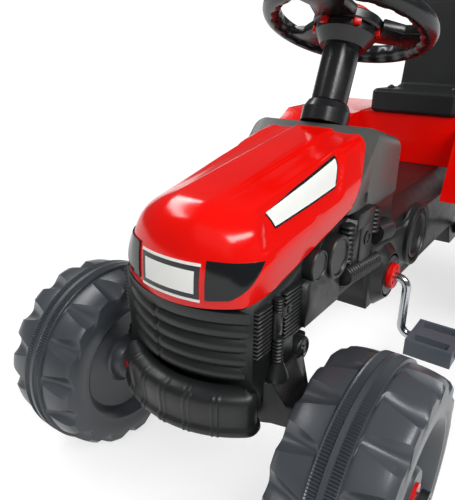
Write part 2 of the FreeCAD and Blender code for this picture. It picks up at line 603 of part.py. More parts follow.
# Crank: one bent rod, its bearings, and a pedal with an end cap on each spindle
def crank_rod():
    arm, throw, bend = size("crank_arm_half"), size("crank_throw"), size("crank_bend")
    end = size("spindle_end_half")
    corners = [Vector(end, crank_y, crank_z - throw), Vector(arm, crank_y, crank_z - throw), Vector(arm, crank_y, crank_z),
               Vector(-arm, crank_y, crank_z), Vector(-arm, crank_y, crank_z + throw), Vector(-end, crank_y, crank_z + throw)]
    edges, start = [], corners[0]
    for before, corner, after in zip(corners, corners[1:], corners[2:]):
        into, out = (corner - before).normalize(), (after - corner).normalize()
        first, last = corner - into * bend, corner + out * bend
        middle = corner + (out - into) * (bend * (1 - math.sqrt(0.5)))
        edges += [Part.LineSegment(start, first).toShape(), Part.Arc(first, middle, last).toShape()]
        start = last
    edges.append(Part.LineSegment(start, corners[-1]).toShape())
    section = Part.Wire(Part.Circle(corners[0], Vector(1, 0, 0), size("crank_rod_radius")).toShape())
    return Part.Wire(edges).makePipeShell([section], True, False)


keep(feature(crank_rod()), "crank_rod")
for side, sign in (("left", 1), ("right", -1)):
    start = "(Sizes.gear_half_width-20)" if sign > 0 else "(-Sizes.gear_half_width-20)"
    sleeve = cylinder("Sizes.bearing_radius", 40, (start, CRANK_Y, "Sizes.crank_height"), "x")
    face = "(Sizes.gear_half_width+12+Sizes.parting_gap)" if sign > 0 else "(-Sizes.gear_half_width-20)"
    flange = cylinder("Sizes.bearing_flange_radius", "8-Sizes.parting_gap", (face, CRANK_Y, "Sizes.crank_height"), "x")
    hole = cylinder("Sizes.crank_rod_radius+Sizes.running_gap", 80, (f"{start}-20", CRANK_Y, "Sizes.crank_height"), "x")
    keep(cut(fuse(sleeve, flange), hole), f"crank_bearing_{side}")
    spindle_z = f"(Sizes.crank_height-{sign}*Sizes.crank_throw)"
    near = f"(Sizes.spindle_end_half-5-Sizes.pedal_length)" if sign > 0 else "(-Sizes.spindle_end_half+5)"
    body = box((near, f"{CRANK_Y}-Sizes.pedal_depth/2", f"{spindle_z}-Sizes.pedal_thickness/2"),
               (f"{near}+Sizes.pedal_length", f"{CRANK_Y}+Sizes.pedal_depth/2", f"{spindle_z}+Sizes.pedal_thickness/2"))
    hole = cylinder("Sizes.crank_rod_radius+Sizes.running_gap", "Sizes.pedal_length+40", (f"{near}-20", CRANK_Y, spindle_z), "x")
    windows = []
    for offset in (-1, 1):
        windows.append(box((f"{near}+8", f"{CRANK_Y}+{offset}*Sizes.pedal_depth*0.31-8", f"{spindle_z}-40"),
                           (f"{near}+Sizes.pedal_length-8", f"{CRANK_Y}+{offset}*Sizes.pedal_depth*0.31+8", f"{spindle_z}+40")))
    keep(cut(body, hole, *windows), f"pedal_{side}")
    start = "(Sizes.spindle_end_half-4)" if sign > 0 else "(-Sizes.spindle_end_half-3)"
    nut = cylinder(11, 7, (start, CRANK_Y, spindle_z), "x")
    hole = cylinder("Sizes.crank_rod_radius", 4, (start if sign > 0 else f"{start}+3", CRANK_Y, spindle_z), "x")
    keep(cut(nut, hole), f"pedal_cap_{side}")


# Chain drive: two toothed sprockets and the side plates of the chain that runs round them
def pitch_radius(teeth):
    return size("chain_pitch") / (2 * math.sin(math.pi / teeth))


def sprocket(teeth, bore, at):
    """Flat sprocket with pointed teeth that stand between the chain's side plates."""
    tip, root = pitch_radius(teeth) + 3.5, pitch_radius(teeth) - 4.5
    points = []
    for tooth in range(teeth):
        for share, reach in ((-0.32, root), (-0.1, tip), (0.1, tip), (0.32, root)):
            angle = 2 * math.pi * (tooth + share) / teeth
            points.append((at.y + reach * math.cos(angle), at.z + reach * math.sin(angle)))
    plate = prism(points, "yz", at.x - 1.6, at.x + 1.6)
    boss = Part.makeCylinder(bore + 6, 12, Vector(at.x - 6, at.y, at.z), Vector(1, 0, 0))
    return plate.fuse(boss).cut(Part.makeCylinder(bore, 40, Vector(at.x - 20, at.y, at.z), Vector(1, 0, 0)))


chain_x = size("chain_plane")
crank_centre, axle_centre = Vector(chain_x, crank_y, crank_z), Vector(chain_x, rear_y, rear_z)
keep(feature(sprocket(int(size("crank_teeth")), size("crank_rod_radius"), crank_centre)), "crank_sprocket")
keep(feature(sprocket(int(size("axle_teeth")), size("rear_axle_radius"), axle_centre)), "rear_sprocket")


def chain_loop(grow, low_x, high_x):
    """Face of the closed run round both sprockets, grown outwards, as a thick plate."""
    big, small = pitch_radius(int(size("crank_teeth"))) + grow, pitch_radius(int(size("axle_teeth"))) + grow
    run = axle_centre - crank_centre
    lean = math.atan2(run.z, run.y)
    open_angle = math.acos((big - small) / run.Length)

    def at(centre, radius, angle):
        return Vector(low_x, centre.y + radius * math.cos(angle), centre.z + radius * math.sin(angle))

    up, down = lean + open_angle, lean - open_angle
    edges = [Part.Arc(at(crank_centre, big, up), at(crank_centre, big, lean + math.pi), at(crank_centre, big, down)).toShape(),
             Part.LineSegment(at(crank_centre, big, down), at(axle_centre, small, down)).toShape(),
             Part.Arc(at(axle_centre, small, down), at(axle_centre, small, lean), at(axle_centre, small, up)).toShape(),
             Part.LineSegment(at(axle_centre, small, up), at(crank_centre, big, up)).toShape()]
    return Part.Face(Part.Wire(edges)).extrude(Vector(high_x - low_x, 0, 0))


def chain():
    """Two closed side plates, joined by rollers where the runs are clear of the teeth."""
    form = None
    for inner in (2.6, -4.2):
        plate = chain_loop(4.3, chain_x + inner, chain_x + inner + 1.6)
        plate = plate.cut(chain_loop(-4.3, chain_x + inner - 1, chain_x + inner + 3))
        form = plate if form is None else form.fuse(plate)
    big, small = pitch_radius(int(size("crank_teeth"))), pitch_radius(int(size("axle_teeth")))
    run = axle_centre - crank_centre
    lean, open_angle = math.atan2(run.z, run.y), math.acos((big - small) / run.Length)
    for angle in (lean + open_angle, lean - open_angle):
        way = Vector(0, math.cos(angle), math.sin(angle))
        start, end = crank_centre + way * big, axle_centre + way * small
        along, step = (end - start).normalize(), 2 * size("chain_pitch")
        count = int(((end - start).Length - 56) / step)
        for roller in range(count + 1):
            at = start + along * (28 + roller * step)
            form = form.fuse(Part.makeCylinder(3.2, 6.8, Vector(chain_x - 3.4, at.y, at.z), Vector(1, 0, 0)))
    return form


keep(feature(chain()), "drive_chain")

# Steering column, rod and wheel, built on the column axis
arm_length = size("steer_arm")
tube_start = 14
tube = Part.makeCylinder(size("column_radius"), size("column_length"), Vector(0, 0, tube_start))
tube = tube.cut(Part.makeCylinder(size("steering_rod_radius"), 200))
keep(along_column(tube, 0), "column_tube")
hub_start = tube_start + size("column_length") - 18
hub_top = hub_start + 40
rod = Part.makeCylinder(size("steering_rod_radius"), hub_start + 14 - rod_low, Vector(0, 0, rod_low))
drop = Part.makeBox(14, arm_length, 8, Vector(-7, 0, rod_low)).fuse(Part.makeCylinder(7, 8, Vector(0, arm_length, rod_low)))
drop_pin = Part.makeCylinder(5, 46, Vector(0, arm_length, rod_low - 44))
keep(along_column(rod.fuse([drop, drop_pin]), 0), "steering_rod")


def wheel_hub():
    """Collar that flares up from the column, with windows that show the horn's skirt."""
    body = Part.makeCone(30, 40, 16, Vector(0, 0, hub_start)).fuse(Part.makeCylinder(40, hub_top - hub_start - 16, Vector(0, 0, hub_start + 16)))
    body = body.cut(Part.makeCylinder(size("column_radius"), 40, Vector(0, 0, hub_start - 22)))
    body = body.cut(Part.makeCylinder(35, 60, Vector(0, 0, hub_start + 21)))
    body = body.cut(Part.makeCylinder(size("steering_rod_radius"), 100, Vector(0, 0, hub_start - 50)))
    for window in range(6):
        opening = Part.makeBox(30, 13, 12, Vector(22, -6.5, hub_start + 24))
        opening.rotate(Vector(), Vector(0, 0, 1), 60 * window + 30)
        body = body.cut(opening)
    return body


keep(along_column(wheel_hub(), 0), "wheel_hub")


def steering_wheel():
    """Rim and three spokes that grow from the hub."""
    level, reach = hub_top - 8, size("steering_wheel_radius")
    rim = Part.makeTorus(reach, size("rim_radius"), Vector(0, 0, level))
    wheel = rim
    for angle in (90, 210, 330):
        spoke = prism([(40.5, -17), (reach - 4, -26), (reach - 4, 26), (40.5, 17)], "xy", level - 7, level + 6)
        spoke.rotate(Vector(), Vector(0, 0, 1), angle)
        wheel = wheel.fuse(spoke)
    ring = Part.makeCylinder(46, 13, Vector(0, 0, level - 7)).cut(Part.makeCylinder(40, 60, Vector(0, 0, level - 30)))
    return wheel.fuse(ring)


keep(along_column(steering_wheel(), 0), "steering_wheel")
horn = Part.makeCylinder(34.5, hub_top + 3 - hub_start - 25, Vector(0, 0, hub_start + 25))
horn = horn.fuse(Part.makeCone(34.5, 24, 7, Vector(0, 0, hub_top + 3)))
keep(along_column(horn, 0), "horn_button")


# Tow hitch: a clevis of two plates on the back of the body
def tow_hitch():
    back = rear_y + 62
    reach = size("overall_length") / 2 - 22
    low = 190
    clevis = Part.makeBox(60, 6, 70, Vector(-30, back, low))
    for z in (low + 8, low + 48):
        ear = Part.makeBox(44, reach - back, 8, Vector(-22, back, z)).fuse(Part.makeCylinder(22, 8, Vector(0, reach, z)))
        clevis = clevis.fuse(ear)
    return clevis.cut(Part.makeCylinder(size("hitch_hole_radius"), 120, Vector(0, reach, low - 10)))


keep(feature(tow_hitch()), "tow_hitch")

doc.recompute()
failed = [o.Label for o in doc.Objects if "Invalid" in o.State or "Error" in o.State]
bad = [o.Label for o in NODES if o.Shape.isNull() or not o.Shape.isValid()]
if failed or bad:
    raise RuntimeError(f"failed objects {failed}, bad shapes {bad}")
os.makedirs("parts", exist_ok=True)
for node in NODES:
    node.Shape.exportStep(f"parts/{node.Label}.step")
print(len(NODES), "sub-parts written")
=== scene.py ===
import json
import math

import bpy
from mathutils import Matrix, Vector


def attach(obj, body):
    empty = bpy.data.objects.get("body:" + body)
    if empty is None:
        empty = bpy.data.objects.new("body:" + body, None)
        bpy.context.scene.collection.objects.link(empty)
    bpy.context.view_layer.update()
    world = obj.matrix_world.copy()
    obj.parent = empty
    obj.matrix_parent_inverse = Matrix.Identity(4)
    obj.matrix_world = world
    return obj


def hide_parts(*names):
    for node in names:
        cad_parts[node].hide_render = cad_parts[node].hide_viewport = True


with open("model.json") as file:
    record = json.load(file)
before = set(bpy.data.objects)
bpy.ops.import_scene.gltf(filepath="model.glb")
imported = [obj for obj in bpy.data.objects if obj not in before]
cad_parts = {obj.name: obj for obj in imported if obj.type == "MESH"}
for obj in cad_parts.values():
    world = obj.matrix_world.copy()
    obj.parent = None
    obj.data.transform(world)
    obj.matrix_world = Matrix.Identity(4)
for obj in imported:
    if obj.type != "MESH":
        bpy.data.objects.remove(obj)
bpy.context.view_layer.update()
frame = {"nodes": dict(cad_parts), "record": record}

bl_info = {
    "name": "Pedal tractor",
    "version": (1, 0, 0),
    "blender": (4, 5, 0),
    "location": "View3D > Sidebar > Tractor",
    "description": "Dresses a child's pedal tractor: bonnet, engine body, wheels, steering and stage",
    "category": "Object",
}

MM = 0.001
FRONT_AXLE = Vector((0.0, -0.375, 0.125))
REAR_AXLE = Vector((0.0, 0.325, 0.160))
CRANK = Vector((0.0, -0.110, 0.221))
COLUMN_BASE = Vector((0.0, -0.129, 0.437))
COLUMN_TILT = math.radians(22.8)
SIDES = (("left", 1), ("right", -1))
OUT, UP = (1, 0, 0), (0, 0, 1)


class TractorSizes(bpy.types.PropertyGroup):
    front_radius: bpy.props.FloatProperty(
        name="Front wheel radius", description="Over the middle band of a front tyre",
        default=0.125, unit="LENGTH")
    rear_radius: bpy.props.FloatProperty(
        name="Rear wheel radius", description="Over the middle band of a rear tyre",
        default=0.160, unit="LENGTH")
    front_half: bpy.props.FloatProperty(
        name="Front tyre half width", description="Middle plane to a side wall", default=0.055, unit="LENGTH")
    rear_half: bpy.props.FloatProperty(
        name="Rear tyre half width", description="Middle plane to a side wall", default=0.058, unit="LENGTH")
    lugs: bpy.props.IntProperty(name="Lugs", description="Tread lugs round each shoulder", default=16, min=8)
    bonnet_wall: bpy.props.FloatProperty(
        name="Bonnet wall", description="Moulded wall of the bonnet", default=0.0035, unit="LENGTH")


class TractorColours(bpy.types.PropertyGroup):
    bonnet_red: bpy.props.StringProperty(
        name="Bonnet red", description="sRGB hex of the gloss red mouldings", default="#E60B04")
    body_black: bpy.props.StringProperty(
        name="Body black", description="sRGB hex of the satin black mouldings", default="#1F2021")
    tyre_black: bpy.props.StringProperty(
        name="Tyre black", description="sRGB hex of the moulded wheels", default="#44484D")
    dash_grey: bpy.props.StringProperty(
        name="Dash grey", description="sRGB hex of the dash moulding", default="#4C4D4B")
    plate_white: bpy.props.StringProperty(
        name="Plate white", description="sRGB hex of the bare plates", default="#ECEDE9")
    steel: bpy.props.StringProperty(
        name="Plated steel", description="sRGB hex of the plated steel parts", default="#C4C8CC")


def sizes():
    """The user's sizes."""
    return bpy.context.scene.tractor_sizes


def colours():
    """The user's colours."""
    return bpy.context.scene.tractor_colours


def linear(hex_colour):
    """sRGB hex colour as linear red, green, blue and alpha."""
    channels = [int(hex_colour[i:i + 2], 16) / 255 for i in (1, 3, 5)]
    return [c / 12.92 if c <= 0.04045 else ((c + 0.055) / 1.055) ** 2.4 for c in channels] + [1.0]


def node(tree, kind, links=(), **settings):
    """Adds a shader node; links are (input name, source socket), settings are inputs or properties."""
    made = tree.nodes.new(kind)
    for name, setting in settings.items():
        label = name.replace("_", " ")
        if label in made.inputs:
            made.inputs[label].default_value = setting
        else:
            setattr(made, name, setting)
    for name, source in links:
        tree.links.new(source, made.inputs[name])
    return made


def moulded(name, hex_colour, shade, roughness, spread, grain_mm, grain_depth, **shader):
    """Moulded plastic: a soft change of tone, a patchy polish and a fine moulded grain."""
    material = bpy.data.materials.get(name)
    if material:
        return material
    material = bpy.data.materials.new(name)
    material.use_nodes = True
    tree = material.node_tree
    bsdf = tree.nodes["Principled BSDF"]
    place = node(tree, "ShaderNodeTexCoord").outputs["Object"]
    patch = node(tree, "ShaderNodeTexNoise", [("Vector", place)], Scale=1 / (90 * MM), Detail=3.0)
    tone = node(tree, "ShaderNodeValToRGB", [("Fac", patch.outputs["Fac"])])
    tone.color_ramp.elements[0].position, tone.color_ramp.elements[1].position = 0.3, 0.7
    base = linear(hex_colour)
    tone.color_ramp.elements[0].color = [c * (1 - shade) for c in base[:3]] + [1]
    tone.color_ramp.elements[1].color = base
    tree.links.new(tone.outputs["Color"], bsdf.inputs["Base Color"])
    rub = node(tree, "ShaderNodeTexNoise", [("Vector", place)], Scale=1 / (14 * MM), Detail=4.0)
    polish = node(tree, "ShaderNodeMapRange", [("Value", rub.outputs["Fac"])])
    polish.inputs["To Min"].default_value = roughness - spread
    polish.inputs["To Max"].default_value = roughness + spread
    tree.links.new(polish.outputs["Result"], bsdf.inputs["Roughness"])
    grain = node(tree, "ShaderNodeTexNoise", [("Vector", place)], Scale=1 / (grain_mm * MM), Detail=2.0)
    bump = node(tree, "ShaderNodeBump", [("Height", grain.outputs["Fac"])],
                Strength=grain_depth, Distance=0.3 * MM)
    tree.links.new(bump.outputs["Normal"], bsdf.inputs["Normal"])
    for socket, setting in shader.items():
        bsdf.inputs[socket.replace("_", " ")].default_value = setting
    return material


def finishes():
    """Each finish of the tractor, by the record's slot name."""
    c = colours()
    return {
        # Injection moulded polypropylene with a polished tool: wet highlights, slight ripple
        "red_gloss": moulded("gloss_red_polypropylene", c.bonnet_red, 0.10, 0.15, 0.04, 9, 0.05, IOR=1.42),
        # Small red polypropylene pieces, less polished
        "red_plastic": moulded("red_polypropylene", c.bonnet_red, 0.14, 0.30, 0.08, 3, 0.10, IOR=1.49),
        # Smoked polycarbonate: near black with a clean reflection
        "smoked_lens": moulded("smoked_polycarbonate", "#17191A", 0.25, 0.14, 0.04, 6, 0.03, IOR=1.40),
        # Bright zinc plating on bent steel rod
        "zinc_steel": moulded("zinc_plated_steel", c.steel, 0.18, 0.22, 0.10, 2, 0.12, Metallic=1.0),
        # Oiled mild steel of chain, sprockets and push nuts
        "dark_steel": moulded("oiled_steel", "#6B6C6E", 0.35, 0.38, 0.12, 1.5, 0.2, Metallic=1.0),
        # Blue grey polyethylene of the pedals
        "grey_plastic": moulded("grey_polyethylene", "#565D65", 0.15, 0.42, 0.08, 1.6, 0.25, IOR=1.51),
        # Charcoal polyethylene of the dash, slightly scuffed
        "charcoal_plastic": moulded(
            "charcoal_polyethylene", c.dash_grey, 0.22, 0.40, 0.10, 2.2, 0.22, IOR=1.51),
        # Black polypropylene of the steering column and wheel, polished by hands
        "black_gloss": moulded("polished_black_polypropylene", "#1C1D1F", 0.2, 0.26, 0.08, 3, 0.10, IOR=1.49),
        # Blow moulded black polyethylene of the body: satin with a fine sand grain
        "black_plastic": moulded(
            "satin_black_polyethylene", c.body_black, 0.25, 0.38, 0.08, 1.8, 0.22, IOR=1.44),
    }


def deselect():
    """Leaves edit mode and clears the selection."""
    if bpy.context.object and bpy.context.object.mode != "OBJECT":
        bpy.ops.object.mode_set(mode="OBJECT")
    bpy.ops.object.select_all(action="DESELECT")


def begin(add, name, **settings):
    """Adds a primitive with its operator and puts its place into its mesh."""
    deselect()
    add(**settings)
    piece = bpy.context.object
    piece.name = piece.data.name = name
    bpy.ops.object.transform_apply(location=True, rotation=True, scale=True)
    return piece


def activate(piece):
    """Makes a piece the only one selected."""
    deselect()
    piece.select_set(True)
    bpy.context.view_layer.objects.active = piece


def edit(piece, kind, test, *steps):
    """Selects the vertices, edges or faces that pass the test and runs operators on them in edit mode."""
    activate(piece)
    mesh = piece.data
    bpy.ops.object.mode_set(mode="EDIT")
    bpy.ops.mesh.select_mode(type=kind)
    bpy.ops.mesh.select_all(action="DESELECT")
    bpy.ops.object.mode_set(mode="OBJECT")
    if kind == "FACE":
        for face in mesh.polygons:
            face.select = test(face.center, face.normal)
    elif kind == "EDGE":
        for edge in mesh.edges:
            a, b = (mesh.vertices[i].co for i in edge.vertices)
            edge.select = test(a, b)
    else:
        for vertex in mesh.vertices:
            vertex.select = test(vertex.co)
    bpy.ops.object.mode_set(mode="EDIT")
    for step in steps:
        step()
    bpy.ops.object.mode_set(mode="OBJECT")
    return piece


def everything(*_):
    """Test that passes all vertices, edges or faces."""
    return True


def modify(piece, kind, **settings):
    """Adds a modifier and applies it."""
    activate(piece)
    modifier = piece.modifiers.new(kind.title(), kind)
    for name, setting in settings.items():
        setattr(modifier, name, setting)
    bpy.ops.object.modifier_apply(modifier=modifier.name)
    return piece


def rounded(piece, width, degrees, segments=2, **settings):
    """Bevels the edges that are sharper than an angle; the width is in millimetres."""
    return modify(piece, "BEVEL", width=width * MM, segments=segments, limit_method="ANGLE",
                  angle_limit=math.radians(degrees), **settings)


def move(*way):
    """Edit step that moves the selection, in metres."""
    return lambda: bpy.ops.transform.translate(value=way)


def stretch(*factors, about=(0, 0, 0)):
    """Edit step that scales the selection about a point."""
    return lambda: bpy.ops.transform.resize(value=factors, center_override=about)


def outward(piece):
    """Merges doubled points and turns the faces outwards."""
    return edit(piece, "FACE", everything, lambda: bpy.ops.mesh.remove_doubles(threshold=0.00002),
                lambda: bpy.ops.mesh.normals_make_consistent(inside=False))


def smooth(piece, degrees=35):
    """Shades a piece smooth up to an angle."""
    activate(piece)
    bpy.ops.object.shade_smooth_by_angle(angle=math.radians(degrees))
    return piece


def finish(piece, body, slot, material=None, nodes=()):
    """Gives a finished piece its material, its body and the nodes that it stands for."""
    piece.data.materials.clear()
    piece.data.materials.append(material or finishes()[slot])
    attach(piece, body)
    if nodes:
        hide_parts(*nodes)
    return piece


def duplicate(piece, name):
    """Copy of a piece with a mesh of its own."""
    activate(piece)
    bpy.ops.object.duplicate()
    copy = bpy.context.object
    copy.name = copy.data.name = name
    return copy


def join(name, pieces):
    """Joins pieces into one mesh."""
    activate(pieces[0])
    for piece in pieces:
        piece.select_set(True)
    bpy.ops.object.join()
    bpy.context.object.name = bpy.context.object.data.name = name
    return bpy.context.object


def chain_of_points(name, points):
    """A single vertex drawn out, point by point, into an open profile."""
    piece = begin(bpy.ops.mesh.primitive_plane_add, name, size=0.001, location=points[0])
    edit(piece, "VERT", everything, lambda: bpy.ops.mesh.merge(type="CENTER"))
    activate(piece)
    bpy.ops.object.mode_set(mode="EDIT")
    bpy.ops.mesh.select_mode(type="VERT")
    bpy.ops.mesh.select_all(action="SELECT")
    for before, after in zip(points, points[1:]):
        step = Vector(after) - Vector(before)
        bpy.ops.mesh.extrude_vertices_move(TRANSFORM_OT_translate={"value": step})
    bpy.ops.object.mode_set(mode="OBJECT")
    return piece


def lathe(name, profile, centre, steps, axis=(1, 0, 0), angle=2 * math.pi):
    """Profile points spun round an axis."""
    piece = chain_of_points(name, profile)
    edit(piece, "VERT", everything,
         lambda: bpy.ops.mesh.spin(steps=steps, angle=angle, center=centre, axis=axis))
    return outward(piece)


def cut_off(piece, at, normal, fill=False):
    """Bisects a piece and clears what lies on the normal's side."""
    return edit(piece, "FACE", everything, lambda: bpy.ops.mesh.bisect(
        plane_co=at, plane_no=normal, clear_outer=True, clear_inner=False, use_fill=fill))


def carve(piece, tool):
    """Cuts a tool's shape out of a piece and throws the tool away."""
    modify(piece, "BOOLEAN", object=tool, operation="DIFFERENCE", solver="EXACT")
    bpy.data.objects.remove(tool)


def smoothstep(low, high, value):
    """Soft step from 0 at low to 1 at high."""
    share = min(max((value - low) / (high - low), 0.0), 1.0)
    return share * share * (3 - 2 * share)


class TRACTOR_OT_finishes(bpy.types.Operator):
    """Gives every carried-over solid its real finish"""
    bl_idname = "tractor.finishes"
    bl_label = "Finishes of the solids"

    def execute(self, context):
        looks = finishes()
        slots = {entry["node"]: entry["material_slot"] for entry in frame["record"]["subparts"]}
        for name, solid in frame["nodes"].items():
            solid.data.materials.clear()
            solid.data.materials.append(looks[slots[name]])
        return {"FINISHED"}


# Rings across a tyre's shoulder: share of the half width, lug and flute radius as shares of the tyre's
# radius, and the flute's share of a lug
SHOULDER = (
    (0.29, 0.970, 0.958, 0.22), (0.38, 0.969, 0.936, 0.29), (0.50, 0.966, 0.910, 0.38),
    (0.64, 0.959, 0.886, 0.47), (0.79, 0.947, 0.866, 0.56), (0.91, 0.928, 0.852, 0.62),
    (0.97, 0.900, 0.846, 0.64))
STEPS_PER_LUG = 32
TOOTH_ROOT = 0.982


def tyre(name, centre, radius, half, lugs):
    """Moulded wheel: serrated middle band, fluted shoulders, lipped side walls and dished faces."""
    inner = [(0.90, 14 * MM / radius), (0.90, 0.205), (0.87, 0.218), (0.70, 0.25), (0.655, 0.275),
             (0.655, 0.52), (0.68, 0.555), (0.93, 0.612), (0.985, 0.645), (0.985, 0.70), (1.0, 0.715),
             (1.0, 0.80), (0.99, 0.825)]
    crown = [(0.255, 0.968), (0.245, 0.992), (0.235, 0.997), (0.205, 0.998), (0.06, 0.998),
             (0.045, 1.0), (0.02, 1.0)]
    side = inner + [(ring[0], ring[1]) for ring in reversed(SHOULDER)] + crown
    shape = [(-x, r) for x, r in side] + [(x, r) for x, r in reversed(side)]
    shape.append(shape[0])
    profile = [centre + Vector((x * half, 0, r * radius)) for x, r in shape]
    steps = lugs * STEPS_PER_LUG
    piece = lathe(name, profile, centre, steps)
    for vertex in piece.data.vertices:
        x, y, z = vertex.co - centre
        column = round(math.atan2(z, y) / (2 * math.pi) * steps)
        share, reach = abs(x) / half, math.hypot(y, z) / radius
        ring = next((r for r in SHOULDER if abs(r[0] - share) < 0.004 and reach > 0.84), None)
        if ring:
            # A flute opens towards the side wall; its sharp edges lie on two of the mesh's columns
            start = 0 if x < 0 else STEPS_PER_LUG // 2
            step = (column - start) % STEPS_PER_LUG
            lug, flutes = column - step, STEPS_PER_LUG // 2
            if step <= flutes:
                across = step / flutes * 2 - 1
                at = across * ring[3] / 2
                reach = ring[1] - (ring[1] - ring[2]) * (1 - across ** 2)
            else:
                at = ring[3] / 2 + (step - flutes) / flutes * (1 - ring[3])
                reach = ring[1]
            turn = (lug + at * STEPS_PER_LUG) / steps * 2 * math.pi
            y, z = math.cos(turn) * reach * radius, math.sin(turn) * reach * radius
            vertex.co = centre + Vector((x, y, z))
        elif 0.05 < share < 0.21 and reach > 0.9 and column % 2:
            vertex.co = centre + Vector((x, y * TOOTH_ROOT, z * TOOTH_ROOT))
    return smooth(piece, 28)


class TRACTOR_OT_wheels(bpy.types.Operator):
    """Moulds the four wheels with their tread"""
    bl_idname = "tractor.wheels"
    bl_label = "Wheels"

    def execute(self, context):
        s = sizes()
        # Blow moulded polyethylene of the wheels: dark grey with a soft sheen along every edge
        wheel_black = moulded(
            "wheel_black_polyethylene", colours().tyre_black, 0.22, 0.33, 0.07, 2.0, 0.25, IOR=1.51)
        for end, axle, track, radius, half, bodies in (
                ("front", FRONT_AXLE, 0.190, s.front_radius, s.front_half, ("front_left", "front_right")),
                ("rear", REAR_AXLE, 0.200, s.rear_radius, s.rear_half, ("rear_drive", "rear_right"))):
            first = tyre(f"{end}_tyre_left", axle + Vector((track, 0, 0)), radius, half, s.lugs)
            second = duplicate(first, f"{end}_tyre_right")
            edit(second, "VERT", everything, move(-2 * track, 0, 0))
            for side, piece, body in zip(("left", "right"), (first, second), bodies):
                finish(piece, body, "black_plastic", wheel_black, (f"{end}_wheel_{side}",))
        return {"FINISHED"}


# Bonnet in millimetres: the nose's front, the radius of its bow, the depth of its roll and the whole length
NOSE_Y, NOSE_BOW, BROW, BONNET_LENGTH = -450.0, 140.0, 48.0, 338.0
NOSE_STEPS, BACK_STEPS, ROWS = 24, 62, 120
ROLL = 2.8
REAR_LEAN = 0.974


def bonnet_station(step):
    """Way behind the nose and share of the full height: up the rolled nose first, then back to the dash."""
    if step <= NOSE_STEPS:
        turn = step / NOSE_STEPS * math.pi / 2
        return BROW * (1 - math.cos(turn) ** (2 / ROLL)), math.sin(turn) ** (2 / ROLL)
    return BROW + (step - NOSE_STEPS) / BACK_STEPS * (BONNET_LENGTH - BROW), 1.0


def curve(first, pull, last, share):
    """Point of a simple curve from first to last, drawn towards pull."""
    rest = 1 - share
    return [a * rest ** 2 + 2 * b * share * rest + c * share ** 2 for a, b, c in zip(first, pull, last)]


def bonnet_section(share, half, front):
    """Half section of the bonnet as (x, fall below the crown): crown, edge, slanted facet and side.
    Front is 0 at the dash and 1 at the nose, where the crown arches more."""
    edge = 4.5 + 12.5 * front
    if share < 0.42:
        x = (half - 31) * share / 0.42
        return x, (edge - 2.4 - 2 * front) * max((x - 18) / (half - 49), 0) ** 1.6
    if share < 0.58:
        return curve((half - 31, edge - 2.4 - 2 * front), (half - 19, edge + 0.5 + 2 * front),
                     (half - 14.5, edge + 9 + 2 * front), (share - 0.42) / 0.16)
    if share < 0.74:
        along, high = (share - 0.58) / 0.16, edge + 9 + 2 * front
        return half - 14.5 + 9.5 * along, high + (35 + 6 * front - high) * along
    if share < 0.86:
        return curve((half - 5, 35 + 6 * front), (half, 45 + 4 * front), (half, 57), (share - 0.74) / 0.12)
    return half, 57.0


def bonnet_point(across, back, rise):
    """Point of the bonnet: across runs from -1 to 1 over the crown."""
    corner = (1 - (1 - min(back / 46, 1)) ** 2.3) ** (1 / 2.3)
    half = (86.0 + 0.025 * back) * (0.84 + 0.16 * corner)
    crown, share = 384 + 0.1346 * back, abs(across)
    x, fall = bonnet_section(share, half, min(max((260 - back) / 214, 0), 1))
    # The plateau stands a little proud of the crown and fades out over the nose
    settled = smoothstep(40, 90, back)
    z = crown - fall + settled * (2.4 * (1 - smoothstep(25, 30, x)) - 1.6 * (1 - smoothstep(44, 62, x)))
    y = NOSE_Y + back + (NOSE_BOW - math.sqrt(NOSE_BOW ** 2 - x ** 2)) * max(1 - back / 150, 0)
    low = 294 + 0.2535 * (y - NOSE_Y)
    if share > 0.86:
        z += (low - z) * (share - 0.86) / 0.14
    # Sunk panel on the facet, with slanted ends
    above, below = z - 377 - 0.205 * (y + 374), z - 361 - 0.14 * (y + 374)
    beyond = 0.73 * (y + 229) - 0.68 * (z - 408)
    hollow = smoothstep(-10, -6.5, below) * (1 - smoothstep(2, 5, above))
    hollow *= smoothstep(-398, -388, y - 0.7 * below) * (1 - smoothstep(3, 6, beyond))
    if share > 0.42:
        x, z = x - 2.6 * hollow, z - 1.2 * hollow
    z = low + (z - low) * rise
    return Vector((math.copysign(x, across), y, z)) * MM


def bonnet_sheet(name):
    """A grid laid over the bonnet's form."""
    columns = NOSE_STEPS + BACK_STEPS
    piece = begin(bpy.ops.mesh.primitive_grid_add, name, x_subdivisions=ROWS, y_subdivisions=columns, size=2)
    for vertex in piece.data.vertices:
        station = bonnet_station(round((vertex.co.y + 1) / 2 * columns))
        vertex.co = bonnet_point(vertex.co.x, *station)
    outward(piece)
    return cut_off(piece, (0, -0.233, 0.349), (0, 1, -REAR_LEAN))


def patch(source, name, thickness, cuts, rounding=0.0):
    """A piece of the bonnet's skin, trimmed by planes and given a thickness outwards, all in millimetres."""
    piece = duplicate(source, name)
    for at, normal in cuts:
        cut_off(piece, Vector(at) * MM, normal)
    modify(piece, "SOLIDIFY", thickness=thickness * MM, offset=1.0)
    if rounding:
        rounded(piece, rounding, 50)
    return smooth(piece)


